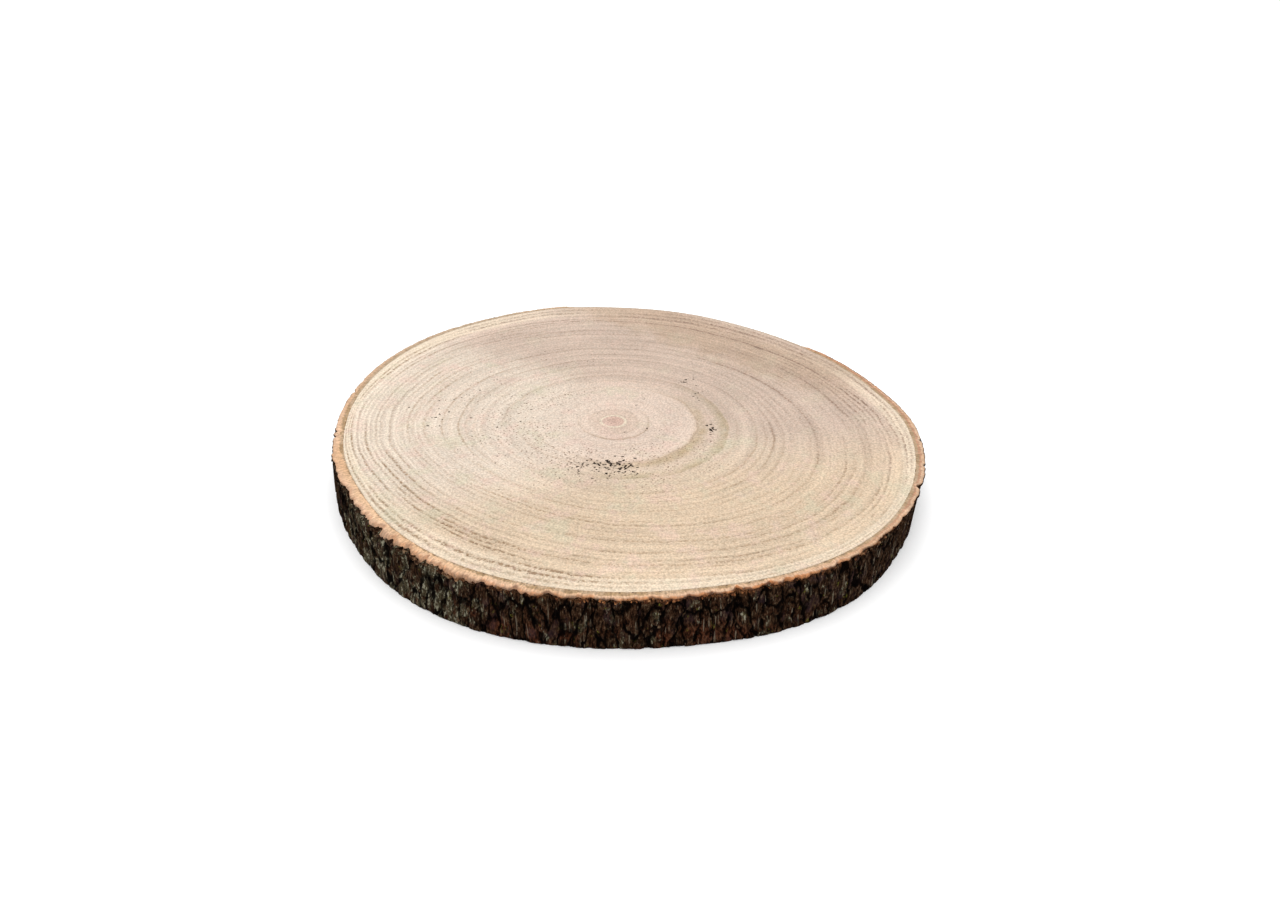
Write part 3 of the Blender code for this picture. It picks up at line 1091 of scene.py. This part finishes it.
class WOODSLICE_OT_inner_bark(bpy.types.Operator):
    """Lay the fibrous inner bark round the wood, toothed where the outer bark has torn"""

    bl_idname = "wood_slice.inner_bark"
    bl_label = "Inner bark"

    def execute(self, context):
        sizes = context.scene.wood_slice_sizes
        thickness = sizes.thickness
        piece = ring_blank(INNER_CUTS, sum(INNER_SECTION))
        mesh = piece.data
        angle, side, rise, across, share = read_section(mesh, INNER_SECTION)
        along = rim_length(angle)
        cover = bark_cover(angle)
        near_top = smooth_step((rise - 0.88) / 0.06)
        gap = parting(angle) * (0.0002 + sizes.cambium_gap / 2)
        inner = cambium_radius(angle) - 0.0002 + gap * near_top
        outer = under_bark_radius(angle, rise, sizes.shell)
        outer = outer + (1 - cover) * 0.00012 * rough_noise(along * 1400, rise * 6, 91)
        radius = inner + (outer - inner) * across
        fibre = rough_noise(along * 1500, radius * 300, 95) - 0.5
        dip = 0.00008 + 0.00025 * smooth_step((across - 0.6) / 0.4) + 0.0003 * fibre
        height = rise * thickness
        on_top = (side == 2) & (share == 0) | (side == 1)
        height = np.where(on_top, thickness - np.abs(dip), height)
        on_side = (side == 0) & (share > 0)
        height = np.where(on_side, np.minimum(height, thickness - 0.0004), height)
        write_round(mesh, angle, radius, height)
        width = np.maximum(inner_edge_radius(angle) - cambium_radius(angle), 0.001)
        store(
            mesh, across=across,
            rim_place=np.stack([along, across * width, height], axis=1),
            bare=np.maximum(1 - cover, read_round(PALE_SHARES, angle)),
            grey_share=read_round(GREY_SHARES, angle),
            red_line=read_round(RED_LINES, angle),
            dark_fringe=read_round(DARK_FRINGES, angle),
            cambium_specks=read_round(CAMBIUM_SPECKS, angle),
            # Painted shade on the inner face, seen in the gap where the bark parts
            seam=np.where((side == 2) & (share > 0), 1.0, 0.0),
            buried=np.where((side == 0) & (share < 0.9), cover, 0.0),
        )
        material = inner_bark_material(context.scene.wood_slice_colours)
        settle(piece, "inner_bark", material)
        return {"FINISHED"}


class WOODSLICE_OT_outer_bark(bpy.types.Operator):
    """Wrap the rough outer bark round the rim, with furrows, plates, cracks and a broken edge"""

    bl_idname = "wood_slice.outer_bark"
    bl_label = "Outer bark"

    def execute(self, context):
        sizes = context.scene.wood_slice_sizes
        thickness = sizes.thickness
        piece = ring_blank(OUTER_CUTS, sum(OUTER_SECTION))
        mesh = piece.data
        self.cut_bare_stretch()
        angle, side, rise, across, _ = read_section(mesh, OUTER_SECTION)
        angle = self.fray_ends(angle, rise)
        along = rim_length(angle)
        cover = bark_cover(angle)
        skin = under_bark_radius(angle, rise, sizes.shell)
        relief, crack = bark_relief(angle, rise * thickness, sizes)
        shoulder = smooth_step((rise - 0.9) / 0.1)
        crumble = shoulder * 0.0007 * rim_noise(along, 600, 99)
        hidden = 0.0006 * smooth_step((0.0007 - read_round(LIP_WIDTHS, angle)) / 0.0005)
        outer = side_radius(angle, rise) + relief * (0.25 + 0.75 * cover) - crumble - hidden
        outer = np.maximum(outer, skin + 0.00035)
        buried = skin - 0.0003
        radius = buried + (outer - buried) * across
        drop = upper_edge_drop(angle) + 0.0004 * (1 - across) + 0.0002
        lift = 0.0006 * rim_noise(along, 420, 103) * across
        height = lift + rise * (thickness - drop - lift)
        write_round(mesh, angle, radius, height)
        edge = smooth_step((height - (thickness - 0.0028)) / 0.0022)
        fresh = read_round(FRESH_EDGES, angle)
        # The crack value sets painted shade: most in the cracks, a little on the upper, inner and
        # lower sides
        store(
            mesh, crack=np.where(side == 0, crack, 0.3), rise=rise,
            broken=fresh * edge * rim_noise(along, 170, 107),
            rim_place=np.stack([along, radius - skin, height], axis=1),
        )
        material = outer_bark_material(context.scene.wood_slice_colours)
        settle(piece, "outer_bark", material)
        return {"FINISHED"}

    def cut_bare_stretch(self):
        """Deletes the stretch where the rim is bare and closes the two cut ends."""
        first = BARE_FROM + BARE_EDGE / 2
        last = BARE_TO - BARE_EDGE / 2

        def is_bare(vertex):
            return first < math.atan2(vertex.co.y, vertex.co.x) < last

        def is_cut(edge):
            middle = (edge.verts[0].co + edge.verts[1].co) / 2
            return edge.is_boundary and abs(math.atan2(middle.y, middle.x) - end) < BARE_EDGE

        bpy.ops.object.mode_set(mode="EDIT")
        bpy.ops.mesh.select_mode(type="VERT")
        select_only("verts", is_bare)
        bpy.ops.mesh.delete(type="VERT")
        for end in (first, last):
            select_only("edges", is_cut)
            bpy.ops.mesh.edge_face_add()
        bpy.ops.object.mode_set(mode="OBJECT")

    def fray_ends(self, angle, rise):
        """Shifts the bark's two ends back and forth up the side, so that they look broken."""
        shift = FRAY_SHIFT * (rough_noise(rise * 9, 0.0, 111) - 0.45)
        for end, way in ((BARE_TO, 1), (BARE_FROM, -1)):
            near = 1 - smooth_step(((way * (angle - end)) % math.tau) / FRAY_REACH)
            near = np.where(np.abs(angle - end) < BARE_EDGE, 1.0, near)
            angle = angle + way * shift * near
        return angle % math.tau


class WOODSLICE_OT_bark_flakes(bpy.types.Operator):
    """Scatter small torn flakes of bark along the upper edge and over the side"""

    bl_idname = "wood_slice.bark_flakes"
    bl_label = "Bark flakes"

    def execute(self, context):
        sizes = context.scene.wood_slice_sizes
        pattern = self.model_flake()
        draw = np.random.default_rng(FLAKE_SEED)
        copies = []
        while len(copies) < FLAKE_COUNT:
            angle = draw.uniform(BARE_TO + 0.1, BARE_FROM + math.tau - 0.1) % math.tau
            lip = float(read_round(LIP_WIDTHS, np.array([angle]))[0])
            if draw.uniform() > 0.15 + lip / 0.0012:
                continue
            copies.append(self.place_flake(pattern, angle, draw, sizes))
        bpy.data.objects.remove(pattern)
        deselect_all()
        for copy in copies:
            copy.select_set(True)
        context.view_layer.objects.active = copies[0]
        bpy.ops.object.join()
        material = flake_material(context.scene.wood_slice_colours)
        settle(context.object, "bark_flakes", material)
        return {"FINISHED"}

    def model_flake(self):
        """Models one flake, 1 long, curled and thinning to its torn edge."""
        deselect_all()
        bpy.ops.mesh.primitive_grid_add(x_subdivisions=5, y_subdivisions=3, size=1.0)
        flake = bpy.context.object
        for vertex in flake.data.vertices:
            x, y, _ = vertex.co
            taper = 1 - 0.55 * (x + 0.5) ** 2
            vertex.co = (x, y * 0.6 * taper + 0.08 * math.sin(9 * x), 0.35 * x * x + 0.1 * y * x)
        solid = flake.modifiers.new("thickness", "SOLIDIFY")
        solid.thickness = 0.12
        bpy.ops.object.modifier_apply(modifier=solid.name)
        return flake

    def place_flake(self, pattern, angle, draw, sizes):
        """Copies the flake to the rim, flat against the bark or lifting from its edge."""
        copy = pattern.copy()
        copy.data = pattern.data.copy()
        bpy.context.collection.objects.link(copy)
        on_edge = draw.uniform() < 0.6
        length = draw.uniform(*FLAKE_LENGTHS)
        rise = 0.955 if on_edge else draw.uniform(0.12, 0.9)
        probe = np.array([angle])
        height = rise * sizes.thickness
        relief, _ = bark_relief(probe, np.array([height]), sizes)
        radius = float((side_radius(probe, rise) + relief)[0]) - (0.0005 if on_edge else 0.0001)
        out = Vector((math.cos(angle), math.sin(angle), 0))
        up = Vector((0, 0, 1))
        aside = up.cross(out)
        turn = draw.uniform(-0.7, 0.7) + (0 if on_edge else math.pi / 2)
        forward = (aside * math.cos(turn) + up * math.sin(turn)).normalized()
        normal = (out + up * draw.uniform(-0.1, 0.5) * on_edge).normalized()
        sideways = normal.cross(forward).normalized()
        forward = sideways.cross(normal)
        centre = Vector((AXIS_X, AXIS_Y, 0)) + out * radius + up * height
        width = length * draw.uniform(0.6, 1.1)
        for vertex in copy.data.vertices:
            x, y, z = vertex.co
            vertex.co = centre + forward * x * length + sideways * y * width + normal * z * length
            vertex.co.z = min(max(vertex.co.z, 0.0004), sizes.thickness - 0.0001)
        fresh = float(read_round(FRESH_EDGES, probe)[0])
        freshness = fresh * draw.uniform(0.5, 1.0) if on_edge else 0.12
        store(copy.data, torn=np.full(len(copy.data.vertices), freshness))
        return copy


class WOODSLICE_OT_studio(bpy.types.Operator):
    """Set the pale floor, the soft light and the camera"""

    bl_idname = "wood_slice.studio"
    bl_label = "Studio"

    def execute(self, context):
        sizes = context.scene.wood_slice_sizes
        deselect_all()
        bpy.ops.mesh.primitive_plane_add(size=sizes.floor_size, location=(0, 0, -0.00005))
        floor = context.object
        floor.name = "studio_floor"
        bpy.ops.object.transform_apply(location=True)
        floor.data.materials.append(plain_floor_material())
        for name, place, size, power in STUDIO_LIGHTS:
            self.light_area(name, place, size, power)
        world = bpy.data.worlds.new("studio_world")
        context.scene.world = world
        world.use_nodes = True
        background = world.node_tree.nodes["Background"]
        background.inputs["Color"].default_value = (1, 1, 1, 1)
        background.inputs["Strength"].default_value = SURROUND_LIGHT
        context.scene.view_settings.view_transform = "Standard"
        bpy.ops.object.camera_add(
            location=CAMERA_PLACE, rotation=(math.pi / 2 - CAMERA_ELEVATION, 0, 0)
        )
        camera = context.object
        camera.name = "photo_camera"
        camera.data.sensor_width = SENSOR_WIDTH
        camera.data.lens = SENSOR_WIDTH * FOCAL_PIXELS / PHOTO_WIDTH
        camera.data.clip_end = 50.0
        context.scene.camera = camera
        return {"FINISHED"}

    def light_area(self, name, place, size, power):
        """Adds a square soft light that faces the slice."""
        bpy.ops.object.light_add(type="AREA", location=place)
        light = bpy.context.object
        light.name = name
        light.data.size = size
        light.data.energy = power
        light.rotation_euler = (-Vector(place)).to_track_quat("-Z", "Y").to_euler()


class WOODSLICE_PT_panel(bpy.types.Panel):
    """Lists the pieces in the order they are made"""

    bl_label = "Wood Slice"
    bl_idname = "WOODSLICE_PT_panel"
    bl_space_type = "VIEW_3D"
    bl_region_type = "UI"
    bl_category = "Wood Slice"

    def draw(self, context):
        layout = self.layout
        for settings in (context.scene.wood_slice_sizes, context.scene.wood_slice_colours):
            for name in settings.__annotations__:
                layout.prop(settings, name)
        for operator in OPERATORS:
            layout.operator(operator.bl_idname)


OPERATORS = (
    WOODSLICE_OT_sawn_wood,
    WOODSLICE_OT_inner_bark,
    WOODSLICE_OT_outer_bark,
    WOODSLICE_OT_bark_flakes,
    WOODSLICE_OT_studio,
)
CLASSES = (SliceSizes, SliceColours, *OPERATORS, WOODSLICE_PT_panel)


def register():
    """Adds the settings, the operators and the panel."""
    for made in CLASSES:
        bpy.utils.register_class(made)
    bpy.types.Scene.wood_slice_sizes = bpy.props.PointerProperty(type=SliceSizes)
    bpy.types.Scene.wood_slice_colours = bpy.props.PointerProperty(type=SliceColours)


def unregister():
    """Removes them again."""
    del bpy.types.Scene.wood_slice_colours
    del bpy.types.Scene.wood_slice_sizes
    for made in reversed(CLASSES):
        bpy.utils.unregister_class(made)


def main():
    """Makes every piece and the stage."""
    register()
    bpy.ops.wood_slice.sawn_wood()
    bpy.ops.wood_slice.inner_bark()
    bpy.ops.wood_slice.outer_bark()
    bpy.ops.wood_slice.bark_flakes()
    bpy.ops.wood_slice.studio()


if __name__ == "__main__":
    main()
